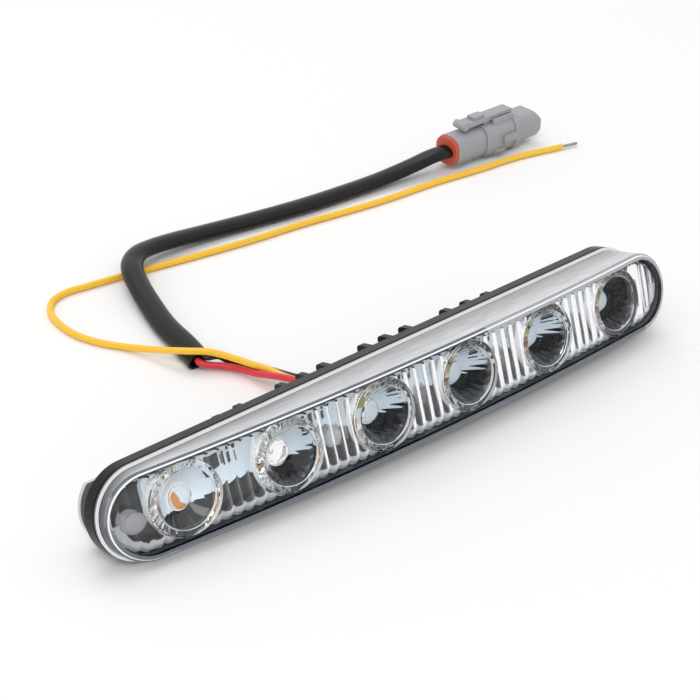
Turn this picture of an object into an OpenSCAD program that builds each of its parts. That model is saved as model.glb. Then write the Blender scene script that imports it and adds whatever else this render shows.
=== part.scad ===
// Slim daytime running light with a bowed clear cover, six collimator optics over a
// pale circuit board, a ribbed black housing, end brackets, and a lead with a sealed plug.
// Lamp frame: X along the lamp, front towards -Y, Z up, y = 0 where cover and seal meet.
// The finished lamp leans back on its slanted underside, and its lead lies on the floor.

/* [Lamp outline] */
// Length of the cover's edge flange
lamp_length = 170; // [160:1:185]
// Height of the cover's edge flange
lamp_height = 22; // [21:0.5:24]
// Angle that the underside is slanted by, and so the lamp's lean when it is set down
lean = 17.5; // [12:0.5:20]

/* [Clear cover] */
// Wall of the cover
cover_wall = 1.3; // [1:0.1:1.5]
// Thickness of the edge flange
flange_thick = 0.8; // [0.6:0.1:1.2]
// How far the flange stands out past the cover's side wall
flange_step = 0.7; // [0.5:0.1:0.9]
// Depth of the cover at its left end
left_depth = 4; // [3.6:0.1:6]
// Depth of the cover at its right end
right_depth = 12; // [9:0.1:14]
// Rise of the bowed front over the straight line between its ends
front_crown = 5.6; // [4.5:0.1:7]
// Width and height of the step round the front face
rim_step = 0.5; // [0.3:0.1:0.7]

/* [Optics] */
// Number of collimators
optic_count = 6; // [5:1:6]
// Distance between collimators
optic_pitch = 26.2; // [24:0.1:26.4]
// Diameter of a collimator's front ring
optic_d = 17.3; // [15:0.1:17.5]
// Width of a collimator's front ring
ring_width = 1.7; // [1.2:0.1:2.2]
// Distance between flutes
flute_pitch = 2.8; // [2.4:0.1:3.4]
// Height of a flute over its valleys
flute_rise = 0.7; // [0.3:0.1:0.9]
// Thickness of the fluted plate under its valleys
strip_plate = 1; // [0.8:0.1:1.3]

/* [Housing] */
// Depth of the housing without its ribs
housing_depth = 3.5; // [3.3:0.1:4.5]
// Wall of the housing
housing_wall = 1.2; // [1:0.1:1.4]
// Distance between ribs
rib_pitch = 6.55; // [6:0.05:7]
// Thickness of a rib
rib_thick = 1.6; // [1.2:0.1:2.2]
// Depth of the ribs at mid length, from the seam
rib_reach = 9.5; // [8:0.1:11]
// Radius of the arc that the ribs' back edges lie on
rib_arc = 355; // [320:5:450]
// Thickness of the seal between cover and housing
seal_thick = 0.5; // [0.4:0.1:0.8]

/* [Circuit board] */
// Thickness of the board
board_thick = 1.2; // [1:0.1:1.3]
// Height of the board
board_height = 11; // [10:0.5:12]
// Height of the board's middle over the lamp's middle
board_lift = 1.5; // [1:0.1:1.8]
// Distance from the board's ends to the lamp's ends
board_end = 13.5; // [13:0.1:15]

/* [Brackets] */
// Thickness of the bracket plate
bracket_thick = 1.2; // [1:0.1:1.5]
// Height of the bracket plate
bracket_height = 14; // [12:0.5:14.5]
// Height of the bracket's leg
leg_height = 10; // [9:0.5:10]
// How far the bracket's leg stands back
bracket_leg = 7.5; // [7:0.5:9]
// Diameter of the bracket's fixing hole
bracket_hole_d = 4.5; // [4.2:0.1:5.2]

/* [Lead] */
// Diameter of a wire over its insulation
wire_d = 1.8; // [1.6:0.1:1.8]
// Width of the flat sleeve
sleeve_w = 6.4; // [6:0.1:7]
// Thickness of the flat sleeve
sleeve_t = 4; // [3:0.1:4.1]

/* [Plug] */
// Width of the plug's body
plug_w = 10.6; // [10.4:0.1:12]
// Height of the plug's body
plug_h = 10.4; // [10:0.1:11]
// Length of the plug's body without its seal
plug_length = 36.5; // [35:0.5:40]
// Wall of the plug's body
plug_wall = 1.3; // [1.1:0.1:1.6]

/* [Hidden] */

$fn = 64;
eps = 0.01;
half_length = lamp_length / 2;
half_height = lamp_height / 2;

// The bowed front is an arc through both end depths, risen by the crown between them
front_slope = (right_depth - left_depth) / lamp_length;
chord = sqrt(pow(lamp_length, 2) + pow(right_depth - left_depth, 2));
bow_r = (pow(chord / 2, 2) + pow(front_crown, 2)) / (2 * front_crown);
bow_x = front_slope * lamp_length / chord * (bow_r - front_crown);
bow_y = lamp_length / chord * (bow_r - front_crown) - (left_depth + right_depth) / 2;
function front_y(x, inset = 0) = bow_y - sqrt(pow(bow_r - inset, 2) - pow(x - bow_x, 2));

// Insets of the outlines from the flange's edge
fit_gap = 0.3;
seal_inset = 0.5;
strip_inset = flange_step + cover_wall + fit_gap;
housing_inside = 1.5;

// Depths from the seam, back towards +Y
housing_front = seal_thick;
housing_back = seal_thick + housing_depth;
floor_y = housing_back - housing_wall;
board_stand = 0.7;
board_back = floor_y - board_stand;
board_front = board_back - board_thick;

// Optics
optic_first = -optic_pitch * (optic_count - 1) / 2 + 0.6;
optic_x = [for (i = [0:optic_count - 1]) optic_first + i * optic_pitch];
optic_back_r = 3.7;
led_size = [3.5, 0.7, 2.8];
led_gap_z = 3.3;
optic_back = board_front - led_size[1] - 0.2;
strip_front_inset = cover_wall + rim_step / 2 + fit_gap;
flute_inset = strip_front_inset + 0.4;
flute_count = floor((lamp_length - 2 * strip_inset) / flute_pitch);

// Pins that the optics stand on the board with
pin_x = [optic_first + optic_pitch / 2, optic_first + (optic_count - 1.5) * optic_pitch];
pin_z = -2.6;
pin_r = 1;

// Small parts between the collimators
resistor_size = [1.6, 0.55, 2.4];
resistor_z = [1.8, 5.2];
resistor_aside = 3.4;
chip_size = [4, 1.1, 3.9];
diode_size = [2.6, 1, 4.2];
chip_aside = 1.2;
chip_z = 3;
function between_x(i) = (optic_x[i] + optic_x[i + 1]) / 2;

// Screws that hold the board, at notches in its lower edge
board_low = board_lift - board_height / 2;
board_screw_x = [-19.2, 7, 33.2, 59.4];
board_screw_z = board_low - 0.7;
screw_r = 1.25;
screw_head_r = 2.7;
screw_head = 1.5;
boss_r = 2.4;
hole_gap = 0.05;

// End bosses take the brackets' screws
end_boss_x = half_length - 8;
end_boss_z = -1.5;
end_boss_r = 3;
end_boss_front = -0.3;
pad_r = 4.6;
pad_height = 5;
bracket_y = housing_back + pad_height;
bracket_round = half_height - 1.9;
bracket_in = half_length - 22;
leg_corner = 3;
bracket_hole_x = bracket_in + 5.4;
bracket_screw = 9;
washer_thick = 0.8;
washer_r = 3.6;
bracket_screw_r = 1.5;
bracket_head_r = 2.9;
bracket_head = 2;

// Ribs stand at every place but each fourth, and one such gap takes the wires
wire_x = -7.5;
rib_side = 12;
rib_corner = 1.2;
rib_top = half_height - 0.4;
rib_least = 0.6;
rib_slots = [for (i = [-rib_side:rib_side])
    if (i % 4 != 0 && rib_back(wire_x + i * rib_pitch) > housing_back + rib_least) i];
function rib_back(x) = rib_reach - rib_arc + sqrt(pow(rib_arc, 2) - pow(x, 2));

// Grommet
grommet_r = 3.2;
grommet_flange_r = 4.4;
grommet_flange = 1.2;
grommet_length = 5;
grommet_end = housing_back + grommet_length;

// Where the lamp's frame lies over the floor
front_low_z = -half_height + flange_step + rim_step;
front_most = front_y(bow_x);
front_reach = front_most * cos(lean) + (half_height + front_low_z) * sin(lean);
rib_most_y = rib_back(wire_x + rib_pitch);
leg_back = bracket_y + bracket_leg;
back_reach = max(rib_most_y * cos(lean) + (half_height + rib_top - rib_corner) * sin(lean),
    (leg_back - leg_corner) * cos(lean) + (half_height + leg_height / 2 - leg_corner) * sin(lean) + leg_corner);
shift_y = -(front_reach + back_reach) / 2;
function from_lamp(p) = [p[0], shift_y + p[1] * cos(lean) + (p[2] + half_height) * sin(lean),
    -p[1] * sin(lean) + (p[2] + half_height) * cos(lean)];

// Plug, with its axis along X, behind the lamp
plug_at = [109, 96.3, 6];
plug_barrel = 12;
plug_nose = 10;
rear_seal_thick = 1.2;
nose_w = plug_w - 1;
nose_h = plug_h - 1.4;
socket_w = nose_w - 2 * plug_wall;
socket_h = nose_h - 2 * plug_wall;
socket_floor = plug_barrel + 6;
terminal_y = 1.55;
terminal_r = 1;
shank_start = 4.5;
shank_out = 6;
blade_w = 1.8;
blade_t = 0.8;
blade_short = 5;
nose_slope = 2;
nose_edge = 3;
collar = 2.4;
latch_start = 5;
latch_size = [plug_length - plug_nose - latch_start - collar / 2, 4.2, 1.6];
latch_lift = 1;
latch_pivot_r = 1.3;
latch_step = [4.6, 3, 1];
latch_web = [3, 3.4, 2.4];
latch_rail = [9, 1, 2.4];
side_block = [5.4, 2, 2.4];
low_wing = [4.4, 3.4, 1.3];

// Routes of the wires and the sleeve, from the lamp outwards
sleeve_mouth = [-20.9, 51.6, 2.5];
mouth_run = 8.5;
sleeve_way = unit([0.19, 0.98, 0]);
sleeve_roll = [30, 28, 22, 12, 0, 0, 0, 0, 0, 0, 0, 0, 0, 0, 0, 0, 0, 0, 0];
mouth_side = level_of(sleeve_way) * cos(sleeve_roll[0]) + [0, 0, sin(sleeve_roll[0])];
strand_r = 0.55;
red_exit = [wire_x - 1.1, grommet_end, 0.7];
black_exit = [wire_x + 1.1, grommet_end, 0.7];
yellow_exit = [wire_x, grommet_end, -1.2];
exit_run = [0, 2.5, 0];
red_route = concat([from_lamp(red_exit), from_lamp(red_exit + exit_run)],
    [[-9.4, 16, 6.6], [-11.4, 25.5, 5.4], [-12.4, 29.6, 4.6], [-13, 33.6, 3.4], [-13.6, 37.6, 2.2],
    [-14.5, 42.6, 1.4], [-16.7, 46.2, 1.5], [-19.6, 48.8, 1.7]], mouth_end(-0.3));
black_route = concat([from_lamp(black_exit), from_lamp(black_exit + exit_run)],
    [[-5.2, 16, 5.6], [-5, 22, 3.4], [-5.6, 28, 1.8], [-6.8, 33, 1.1], [-8.4, 37.4, 1], [-10.2, 41.6, 1],
    [-12.6, 45.2, 1.2], [-14.9, 47.4, 2], [-16.5, 48.9, 3.2]], mouth_end(1.9));
yellow_route = concat([from_lamp(yellow_exit), from_lamp(yellow_exit + exit_run)],
    [[-7.5, 16, 5], [-7.7, 21, 4.3], [-9.6, 28.2, 3.5], [-10.4, 31.1, 3.5], [-10.9, 33.8, 3.6],
    [-11.5, 36.4, 3.5], [-12.7, 38.7, 3.7], [-14.4, 42.6, 4], [-16.6, 46.4, 4.6], [-19.5, 49.4, 5.4], [-23, 52.8, 5.4],
    [-25.2, 57.6, 4.2], [-27.2, 63.8, 2.4], [-30.4, 71, 1.1], [-34.2, 77.4, 1], [-36.8, 85, 1],
    [-37, 93, 1], [-35.4, 99.4, 1], [-31.8, 103.8, 1], [-26.6, 105.4, 1], [-20, 104.6, 1],
    [-10, 103.2, 1], [0, 101.4, 1], [14, 99, 1], [30, 96.6, 1], [47, 94.9, 1],
    [76, 90.9, 1], [97, 89.6, 1], [113, 87.6, 1], [130, 86, 1], [146, 82.2, 1]]);
yellow_last = unit(yellow_route[len(yellow_route) - 1] - yellow_route[len(yellow_route) - 2]);
strand_route = [for (run = [0, 3, 6]) yellow_route[len(yellow_route) - 1] + run * yellow_last];
sleeve_route = [sleeve_mouth, sleeve_mouth + mouth_run * sleeve_way, [-17.6, 70.8, 2.4],
    [-14.9, 81.4, 2.9], [-12.2, 90.6, 3.8], [-9.6, 97.6, 4.6], [-6.4, 102.4, 4.7],
    [-2.2, 105.4, 4.7], [3, 106.9, 4.2], [11.6, 107.5, 3.4], [20.4, 107.1, 2.6],
    [36.6, 104.8, 2.1], [53.5, 102.3, 2.1], [68.2, 101.1, 2.1], [83.2, 99.8, 2.6],
    [95, 98.2, 4.2], [102, 97, 5.6], plug_at - [rear_seal_thick + 3, 0, 0],
    plug_at - [rear_seal_thick, 0, 0]];
function unit(v) = v / norm(v);
function level_of(way) = unit(cross(way, [0, 0, 1]));
function mouth_end(side) = [for (run = [-1.2, 0]) sleeve_mouth + side * mouth_side + run * sleeve_way];

// Shapes that several pieces share

// Outline with round ends, inset from the flange's edge, in X and Z
module outline(inset = 0) {
    r = half_height - inset;
    run = half_length - half_height;
    square([2 * run, 2 * r], center = true);
    for (side = [-1, 1]) translate([side * run, 0]) circle(r);
}

// That outline as a plate from y = y0 back to y = y1
module plate(y0, y1, inset = 0) {
    translate([0, y1, 0]) rotate([90, 0, 0]) linear_extrude(y1 - y0) outline(inset);
}

// Everything behind the bowed front, inset from it
module behind_bow(inset = 0) {
    translate([bow_x, bow_y, -lamp_height]) cylinder(r = bow_r - inset, h = 2 * lamp_height, $fn = 720);
}

// Cylinder or cone along +Y, from y = y0 to y = y1
module along_y(y0, y1, r0, r1) {
    translate([0, y0, 0]) rotate([-90, 0, 0]) cylinder(r1 = r0, r2 = r1, h = y1 - y0);
}

// Cylinder along +X, from x = x0 to x = x1
module along_x(x0, x1, r) {
    translate([x0, 0, 0]) rotate([0, 90, 0]) cylinder(r = r, h = x1 - x0);
}

// Everything under the floor that the leaning lamp rests on
module below_floor() {
    translate([0, 0, -half_height]) rotate([lean, 0, 0])
        translate([-lamp_length, -lamp_length, -lamp_length])
            cube([2 * lamp_length, 2 * lamp_length, lamp_length]);
}

// Puts a piece of the lamp where the leaning lamp lies
module on_floor() {
    translate(from_lamp([0, 0, 0])) rotate([-lean, 0, 0]) children();
}

// Box with round long edges along X
module round_bar(length, width, height, corner) {
    rotate([90, 0, 90]) linear_extrude(length) union() {
        square([width - 2 * corner, height], center = true);
        square([width, height - 2 * corner], center = true);
        for (y = [-1, 1], z = [-1, 1])
            translate([y * (width / 2 - corner), z * (height / 2 - corner)]) circle(corner);
    }
}

// Tube with an oval section along a route, its wide side level or rolled from ring to ring
module tube(route, width, height, sides, roll = 0) {
    last = len(route) - 1;
    ring = [for (i = [0:last]) let (
            way = unit(route[min(i + 1, last)] - route[max(i - 1, 0)]),
            turn = is_list(roll) ? roll[i] : roll,
            level = level_of(way),
            up = cross(level, way),
            wide = level * cos(turn) + up * sin(turn),
            thick = up * cos(turn) - level * sin(turn))
        [for (k = [0:sides - 1]) let (a = (k + 0.5) * 360 / sides)
            route[i] + wide * cos(a) * width / 2 + thick * sin(a) * height / 2]];
    points = [for (r = ring) each r];
    walls = [for (i = [0:last - 1], k = [0:sides - 1]) let (n = (k + 1) % sides)
        each [[i * sides + k, i * sides + n, (i + 1) * sides + k],
            [i * sides + n, (i + 1) * sides + n, (i + 1) * sides + k]]];
    ends = [[for (k = [sides - 1:-1:0]) k], [for (k = [0:sides - 1]) last * sides + k]];
    polyhedron(points, concat(walls, ends));
}

// Pieces of the lamp

// Black tray with bosses, pads, a wire outlet and back ribs, cut slanted underneath
module housing() {
    color("#2b2c2e") on_floor() difference() {
        union() {
            difference() {
                plate(housing_front, housing_back);
                plate(housing_front - 1, floor_y, housing_inside);
            }
            for (i = rib_slots) rib(wire_x + i * rib_pitch);
            for (x = board_screw_x) translate([x, 0, board_screw_z]) along_y(board_back, floor_y + eps, boss_r, boss_r);
            for (x = [-half_length + board_end + 3, half_length - board_end - 3])
                translate([x, 0, board_lift + 2]) along_y(board_back, floor_y + eps, boss_r, boss_r);
            for (side = [-1, 1]) translate([side * end_boss_x, 0, end_boss_z]) {
                along_y(end_boss_front, floor_y + eps, end_boss_r, end_boss_r);
                along_y(housing_back - eps, bracket_y, pad_r, pad_r);
            }
        }
        for (x = board_screw_x) translate([x, 0, board_screw_z])
            along_y(board_back - 1, housing_back - 0.5, screw_r + hole_gap, screw_r + hole_gap);
        for (side = [-1, 1]) translate([side * end_boss_x, 0, end_boss_z])
            along_y(end_boss_front + 1, bracket_y + 1, bracket_screw_r + hole_gap, bracket_screw_r + hole_gap);
        translate([wire_x, 0, 0]) along_y(floor_y - 1, housing_back + 1, grommet_r, grommet_r);
        below_floor();
    }
}

// One back rib with a rounded top corner, standing at x
module rib(x) {
    back = rib_back(x);
    translate([x - rib_thick / 2, 0, 0]) rotate([90, 0, 90]) linear_extrude(rib_thick) {
        translate([floor_y, -half_height]) square([back - floor_y, half_height + rib_top - rib_corner]);
        translate([floor_y, 0]) square([back - rib_corner - floor_y, rib_top]);
        translate([back - rib_corner, rib_top - rib_corner]) circle(rib_corner, $fn = 32);
    }
}

// Seal ring that shows as the dark groove behind the cover's flange
module housing_seal() {
    color("#101112") on_floor() difference() {
        plate(0, seal_thick, seal_inset);
        plate(-1, seal_thick + 1, housing_inside + 0.1);
    }
}

// Clear cover: edge flange, side wall, and a bowed front with a step round its face
module outer_cover() {
    color("#e8eef2", 0.35) on_floor() difference() {
        union() {
            plate(-flange_thick, 0);
            intersection() {
                plate(-lamp_height, 0, flange_step);
                behind_bow(rim_step);
            }
            intersection() {
                plate(-lamp_height, -flange_thick, flange_step + rim_step);
                behind_bow();
            }
        }
        intersection() {
            plate(-lamp_height, 1, flange_step + cover_wall);
            behind_bow(cover_wall + rim_step / 2);
        }
    }
}

// Clear optics: fluted plate that follows the bow, collimators, and their bowls
module optic_strip() {
    color("#dfe9f0", 0.6) on_floor() difference() {
        union() {
            intersection() {
                fluted_plate();
                plate(-lamp_height, board_back, strip_inset);
            }
            intersection() {
                for (x = optic_x) translate([x, 0, 0]) {
                    along_y(front_y(x) - 1, front_y(x, strip_front_inset) + 2.5, optic_d / 2, optic_d / 2);
                    along_y(front_y(x, strip_front_inset) + 2, optic_back, optic_d / 2 - 0.2, optic_back_r);
                }
                behind_bow(strip_front_inset);
            }
            for (x = pin_x) translate([x, 0, pin_z]) along_y(front_y(x, flute_inset) + flute_rise + 0.2, board_front, pin_r, pin_r);
        }
        for (x = optic_x) translate([x, 0, 0]) optic_bowl(x);
    }
}

// Bowl in a collimator's front, round a small lens
module optic_bowl(x) {
    mouth = front_y(x, strip_front_inset);
    deep = (optic_back - mouth) * 0.62;
    lens_r = 2.3;
    difference() {
        union() {
            along_y(mouth - 2, mouth + eps, optic_d / 2 - ring_width, optic_d / 2 - ring_width);
            along_y(mouth, mouth + deep, optic_d / 2 - ring_width, lens_r + 0.6);
        }
        translate([0, mouth + deep, 0]) sphere(lens_r, $fn = 32);
    }
}

// Plate whose front is a row of upright flutes that follow the bow
module fluted_plate() {
    steps = 4;
    start = -flute_count * flute_pitch / 2;
    xs = [for (i = [0:flute_count * steps]) start + i * flute_pitch / steps];
    valley = [for (i = [0:flute_count * steps]) let (u = 2 * (i % steps) / steps - 1)
        flute_rise * pow(u, 2)];
    front = [for (i = [0:len(xs) - 1]) [xs[i], front_y(xs[i], flute_inset) + valley[i]]];
    back = [for (i = [len(xs) - 1:-steps:0]) [xs[i], front_y(xs[i], flute_inset) + flute_rise + strip_plate]];
    translate([0, 0, -half_height]) linear_extrude(lamp_height) polygon(concat(front, back));
}

// Board with notches for its screws
module circuit_board() {
    color("#cfe0ee") on_floor() difference() {
        translate([-half_length + board_end, board_front, board_low])
            cube([lamp_length - 2 * board_end, board_thick, board_height]);
        for (x = board_screw_x) translate([x, 0, board_screw_z])
            along_y(board_front - 1, board_back + 1, screw_r + 0.3, screw_r + 0.3);
    }
}

// Small part of the given size, standing on the board's front
module on_board(x, z, size) {
    translate([x - size[0] / 2, board_front - size[1], z - size[2] / 2]) cube(size);
}

// Daylight emitters, one under the upper half of each collimator
module white_leds() {
    color("#f2e9a0") on_floor() for (x = optic_x) on_board(x, led_gap_z / 2, led_size);
}

// Amber emitters, one under the lower half of each collimator
module amber_leds() {
    color("#f0922b") on_floor() for (x = optic_x) on_board(x, -led_gap_z / 2, led_size);
}

// Chip resistors between the collimators
module resistors() {
    color("#1c1c1f") on_floor() for (i = [0:optic_count - 2], z = resistor_z)
        on_board(between_x(i) + resistor_aside, z, resistor_size);
}

// Driver chips between the collimators
module driver_chips() {
    color("#26272b") on_floor() for (i = [0:2:optic_count - 2])
        on_board(between_x(i) - chip_aside, chip_z, chip_size);
}

// Diodes that guard the supply
module diodes() {
    color("#1a1b1d") on_floor() for (i = [1:2:optic_count - 2])
        on_board(between_x(i) - chip_aside, chip_z, diode_size);
}

// Pan-head screw along +Y, with its head's underside at y = 0
module screw(head_r, head, r, length) {
    difference() {
        union() {
            along_y(-head, 0, head_r * 0.86, head_r);
            along_y(-eps, length, r, r);
        }
        for (a = [0, 90]) rotate([0, a, 0]) translate([-head_r * 0.6, -head - 1, -0.3])
            cube([head_r * 1.2, 1 + head * 0.5, 0.6]);
    }
}

// Screws whose heads clamp the board's lower edge
module board_screws() {
    color("#b9bcbf") on_floor() for (x = board_screw_x) translate([x, board_front, board_screw_z])
        screw(screw_head_r, screw_head, screw_r, housing_back - 0.7 - board_front);
}

// Rubber grommet that the wires leave the housing through
module wire_grommet() {
    color("#17181a") on_floor() translate([wire_x, 0, 0]) {
        along_y(floor_y, housing_back + eps, grommet_r - hole_gap, grommet_r - hole_gap);
        along_y(housing_back, housing_back + grommet_flange, grommet_flange_r, grommet_flange_r);
        along_y(housing_back + grommet_flange - eps, grommet_end, grommet_r, grommet_r - 0.4);
    }
}

// Bracket at the right end: plate with the fixing hole on the housing's pad, and a stiff leg
module bracket() {
    difference() {
        union() {
            translate([0, bracket_y + bracket_thick, 0]) rotate([90, 0, 0]) linear_extrude(bracket_thick)
                bracket_outline();
            translate([bracket_in, 0, 0]) rotate([90, 0, 90]) linear_extrude(bracket_thick)
                translate([bracket_y, 0]) tab(bracket_leg, leg_height, leg_corner);
        }
        translate([end_boss_x, 0, end_boss_z])
            along_y(bracket_y - 1, bracket_y + bracket_thick + 1, bracket_screw_r + 0.2, bracket_screw_r + 0.2);
        translate([bracket_hole_x, 0, 0])
            along_y(bracket_y - 1, bracket_y + bracket_thick + 1, bracket_hole_d / 2, bracket_hole_d / 2);
    }
}

// Outline of the bracket's plate, whose far end is round like the lamp's own
module bracket_outline() {
    run = half_length - half_height;
    translate([bracket_in, -bracket_height / 2]) square([run - bracket_in, bracket_height]);
    translate([run, 0]) intersection() {
        circle(bracket_round);
        translate([-eps, -bracket_height / 2]) square([half_height, bracket_height]);
    }
}

// Flat tab along +X, centred on it, with both far corners rounded
module tab(length, height, corner) {
    translate([0, -height / 2]) square([length - corner, height]);
    translate([0, corner - height / 2]) square([length, height - 2 * corner]);
    for (side = [-1, 1]) translate([length - corner, side * (height / 2 - corner)]) circle(corner);
}

module right_bracket() {
    color("#b4b6b8") on_floor() bracket();
}

module left_bracket() {
    color("#b4b6b8") on_floor() mirror([1, 0, 0]) bracket();
}

// Screws that hold the brackets in the end bosses
module bracket_screws() {
    color("#8e9194") on_floor() for (side = [-1, 1])
        translate([side * end_boss_x, bracket_y + bracket_thick + washer_thick, end_boss_z])
            rotate([0, 0, 180]) screw(bracket_head_r, bracket_head, bracket_screw_r, bracket_screw);
}

// Washers under those screws' heads
module bracket_washers() {
    color("#a9abad") on_floor() for (side = [-1, 1]) translate([side * end_boss_x, 0, end_boss_z])
        difference() {
            along_y(bracket_y + bracket_thick, bracket_y + bracket_thick + washer_thick, washer_r, washer_r);
            along_y(bracket_y, bracket_y + 3, bracket_screw_r + 0.1, bracket_screw_r + 0.1);
        }
}

// Pieces of the lead

// Supply wire, from the grommet into the sleeve
module red_wire() {
    color("#c9303a") tube(red_route, wire_d, wire_d, 8);
}

// Ground wire, from the grommet into the sleeve
module black_wire() {
    color("#18191b") tube(black_route, wire_d, wire_d, 8);
}

// Turn signal wire, which crosses over the sleeve and back under it
module yellow_wire() {
    color("#f2b21d") tube(yellow_route, wire_d, wire_d, 8);
}

// Tinned strands at the yellow wire's free end
module yellow_wire_strands() {
    color("#9c9ea0") tube(strand_route, 2 * strand_r, 2 * strand_r, 8);
}

// Flat sleeve over the red and black wires
module cable_sleeve() {
    color("#1b1c1d") tube(sleeve_route, sleeve_w, sleeve_t, 12, sleeve_roll);
}

// Pieces of the plug

// Plug body: rear barrel, wider middle with a latch and side rails, and a chamfered nose
module plug_body() {
    middle = plug_length - plug_barrel - plug_nose;
    color("#9a9b9f") translate(plug_at) difference() {
        union() {
            round_bar(plug_barrel + eps, plug_w - 1, plug_h - 0.8, 3.6);
            translate([plug_barrel, 0, 0]) round_bar(middle, plug_w, plug_h, 3.2);
            translate([plug_barrel + middle - collar, 0, 0]) round_bar(collar, plug_w + 0.8, plug_h + 0.8, 3.4);
            intersection() {
                translate([plug_barrel + middle - eps, 0, 0]) round_bar(plug_nose, nose_w, nose_h, 2.6);
                nose_wedge();
            }
            plug_latch();
            for (y = [-1, 1]) translate([plug_length - plug_nose - collar - side_block[0] / 2, y * plug_w / 2, 0])
                cube(side_block, center = true);
            translate([plug_barrel + 3, -plug_w / 2 - 0.6, -plug_h / 2 + low_wing[2]])
                cube(low_wing);
        }
        translate([-1, 0, 0]) round_bar(plug_barrel - 1, plug_w - 1 - 2 * plug_wall, plug_h - 0.8 - 2 * plug_wall, 2.4);
        translate([socket_floor, 0, 0]) round_bar(plug_length, socket_w, socket_h, 1.6);
        for (side = [-1, 1]) translate([0, side * terminal_y, 0]) along_x(1, plug_length, terminal_r + hole_gap);
    }
}

// Side outline of the nose, which tapers to a blunt edge at its tip
module nose_wedge() {
    rotate([90, 0, 0]) linear_extrude(plug_w, center = true) polygon([
        [0, -plug_h], [plug_length - nose_slope, -plug_h], [plug_length - nose_slope, -nose_h / 2],
        [plug_length, -nose_edge / 2], [plug_length, nose_edge / 2],
        [plug_length - nose_slope, nose_h / 2], [plug_length - nose_slope, plug_h], [0, plug_h]]);
}

// Latch on the plug's top: a bar with a round finger end and a thumb step, on a web between two rails
module plug_latch() {
    bar_z = plug_h / 2 + latch_lift;
    translate([latch_start, -latch_size[1] / 2, bar_z]) cube(latch_size);
    translate([latch_start, latch_size[1] / 2 + 0.3, bar_z + latch_size[2] / 2]) rotate([90, 0, 0])
        cylinder(r = latch_pivot_r, h = latch_size[1] + 0.6);
    translate([latch_start + 4, -latch_step[1] / 2, bar_z + latch_size[2] - eps]) cube(latch_step);
    translate([plug_barrel + 1.5, -latch_web[1] / 2, plug_h / 2 - 1]) cube(latch_web);
    for (y = [-1, 1]) translate([plug_length - plug_nose - collar - latch_rail[0] + 1,
            y * (latch_size[1] / 2 + 0.9) - latch_rail[1] / 2, plug_h / 2 - 1])
        cube(latch_rail);
}

// Rear seal, which fills the barrel and stands out as a lip with two wire holes
module plug_rear_seal() {
    color("#c8432b") translate(plug_at) {
        translate([-rear_seal_thick, 0, 0]) round_bar(rear_seal_thick, plug_w - 1.6, plug_h - 1.4, 3.4);
        translate([-eps, 0, 0]) round_bar(4, plug_w - 1 - 2 * plug_wall - 0.1, plug_h - 0.8 - 2 * plug_wall - 0.1, 2.4);
    }
}

// Ring seal inside the nose
module plug_front_seal() {
    color("#c8432b") translate(plug_at + [socket_floor, 0, 0]) difference() {
        round_bar(2, socket_w - 0.1, socket_h - 0.1, 1.6);
        translate([-1, 0, 0]) round_bar(4, socket_w - 1.6, socket_h - 1.6, 1);
    }
}

// Insert that locks the terminals, in the nose
module plug_insert() {
    color("#d9d9d4") translate(plug_at + [socket_floor + 2, 0, 0]) difference() {
        round_bar(2.4, socket_w - 0.1, socket_h - 0.1, 1.6);
        for (side = [-1, 1]) translate([0, side * terminal_y, 0]) along_x(-1, 4, terminal_r + hole_gap);
    }
}

// Two terminals: round shanks held in the body, and blades that stand in the nose
module plug_terminals() {
    color("#c9a24a") for (side = [-1, 1]) translate(plug_at + [0, side * terminal_y, 0]) {
        along_x(shank_start, socket_floor + shank_out, terminal_r);
        translate([socket_floor + shank_out - 1, -blade_w / 2, -blade_t / 2])
            cube([plug_length - socket_floor - shank_out + 1 - blade_short, blade_w, blade_t]);
    }
}

housing();
housing_seal();
outer_cover();
optic_strip();
circuit_board();
white_leds();
amber_leds();
resistors();
driver_chips();
diodes();
board_screws();
wire_grommet();
left_bracket();
right_bracket();
bracket_screws();
bracket_washers();
red_wire();
black_wire();
yellow_wire();
yellow_wire_strands();
cable_sleeve();
plug_body();
plug_rear_seal();
plug_front_seal();
plug_insert();
plug_terminals();
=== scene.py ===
import math

import bmesh
import bpy
import numpy as np
from mathutils import Matrix, Vector


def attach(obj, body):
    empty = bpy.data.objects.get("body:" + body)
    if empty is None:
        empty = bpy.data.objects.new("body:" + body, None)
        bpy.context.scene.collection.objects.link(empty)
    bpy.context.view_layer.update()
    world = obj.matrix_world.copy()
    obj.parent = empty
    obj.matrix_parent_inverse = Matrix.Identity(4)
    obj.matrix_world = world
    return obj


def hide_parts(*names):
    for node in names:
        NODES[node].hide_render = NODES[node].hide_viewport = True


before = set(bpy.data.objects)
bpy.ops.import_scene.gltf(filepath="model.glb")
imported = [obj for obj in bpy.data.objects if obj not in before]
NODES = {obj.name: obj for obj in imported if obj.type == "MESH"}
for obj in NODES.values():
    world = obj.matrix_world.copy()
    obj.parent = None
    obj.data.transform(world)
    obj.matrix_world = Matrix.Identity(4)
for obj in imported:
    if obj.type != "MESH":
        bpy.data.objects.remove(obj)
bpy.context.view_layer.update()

bl_info = {
    "name": "Daytime Running Light",
    "version": (1, 0, 0),
    "blender": (4, 5, 0),
    "location": "View3D > Sidebar > Lamp",
    "description": "Dresses the daytime running light: cover, optics, board, lead and plug",
    "category": "Object",
}

# The lamp's own frame, in millimetres: X along it, front towards -Y, Z up, y = 0 at the seam

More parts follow.
